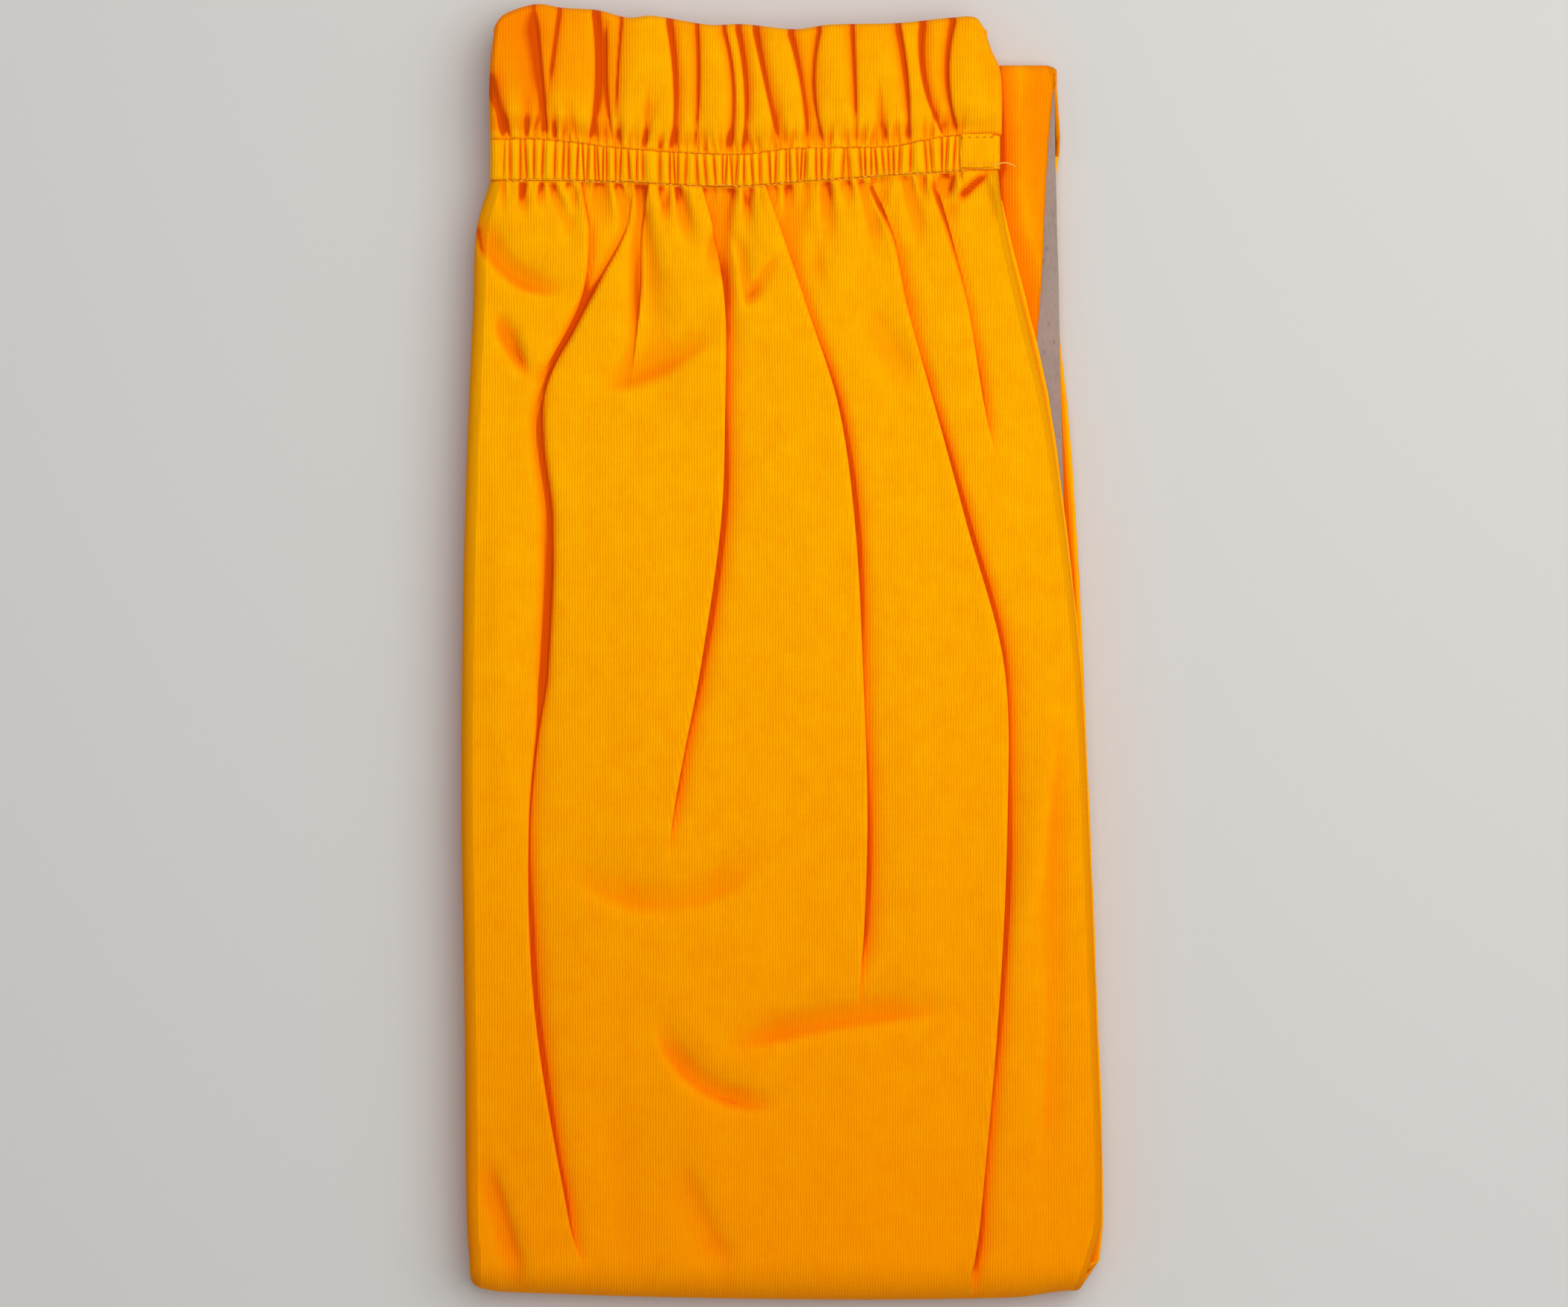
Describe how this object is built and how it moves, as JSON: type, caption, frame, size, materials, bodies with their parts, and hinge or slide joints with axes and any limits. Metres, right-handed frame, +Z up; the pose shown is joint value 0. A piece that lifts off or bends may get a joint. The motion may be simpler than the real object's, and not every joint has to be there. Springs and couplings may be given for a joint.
{
  "type": "patiala salwar folded on a board",
  "caption": "Pull-on gathered trousers in plain orange cotton jersey, folded lengthwise and wrapped flat round a stiff card board.",
  "frame": {"origin": "centre of the folded pack's footprint, on the surface that it lies on", "axes": "+Y up the pack from its bottom fold to the waist, +X to the right as seen from above with the waist away from the viewer, +Z up"},
  "size_m": [0.224, 0.4525, 0.0219],
  "materials": {
    "jersey": "soft mango-orange cotton jersey, fine vertical wales, slight fuzz, no sheen",
    "card": "uncoated grey-brown pulp card, matt"
  },
  "bodies": {
    "root": {"upper_leg": "jersey", "lower_leg": "jersey", "elastic_casing": "jersey", "waist_header": "jersey", "waist_layers": "jersey", "join_patch": "jersey", "board": "card"}
  },
  "joints": []
}
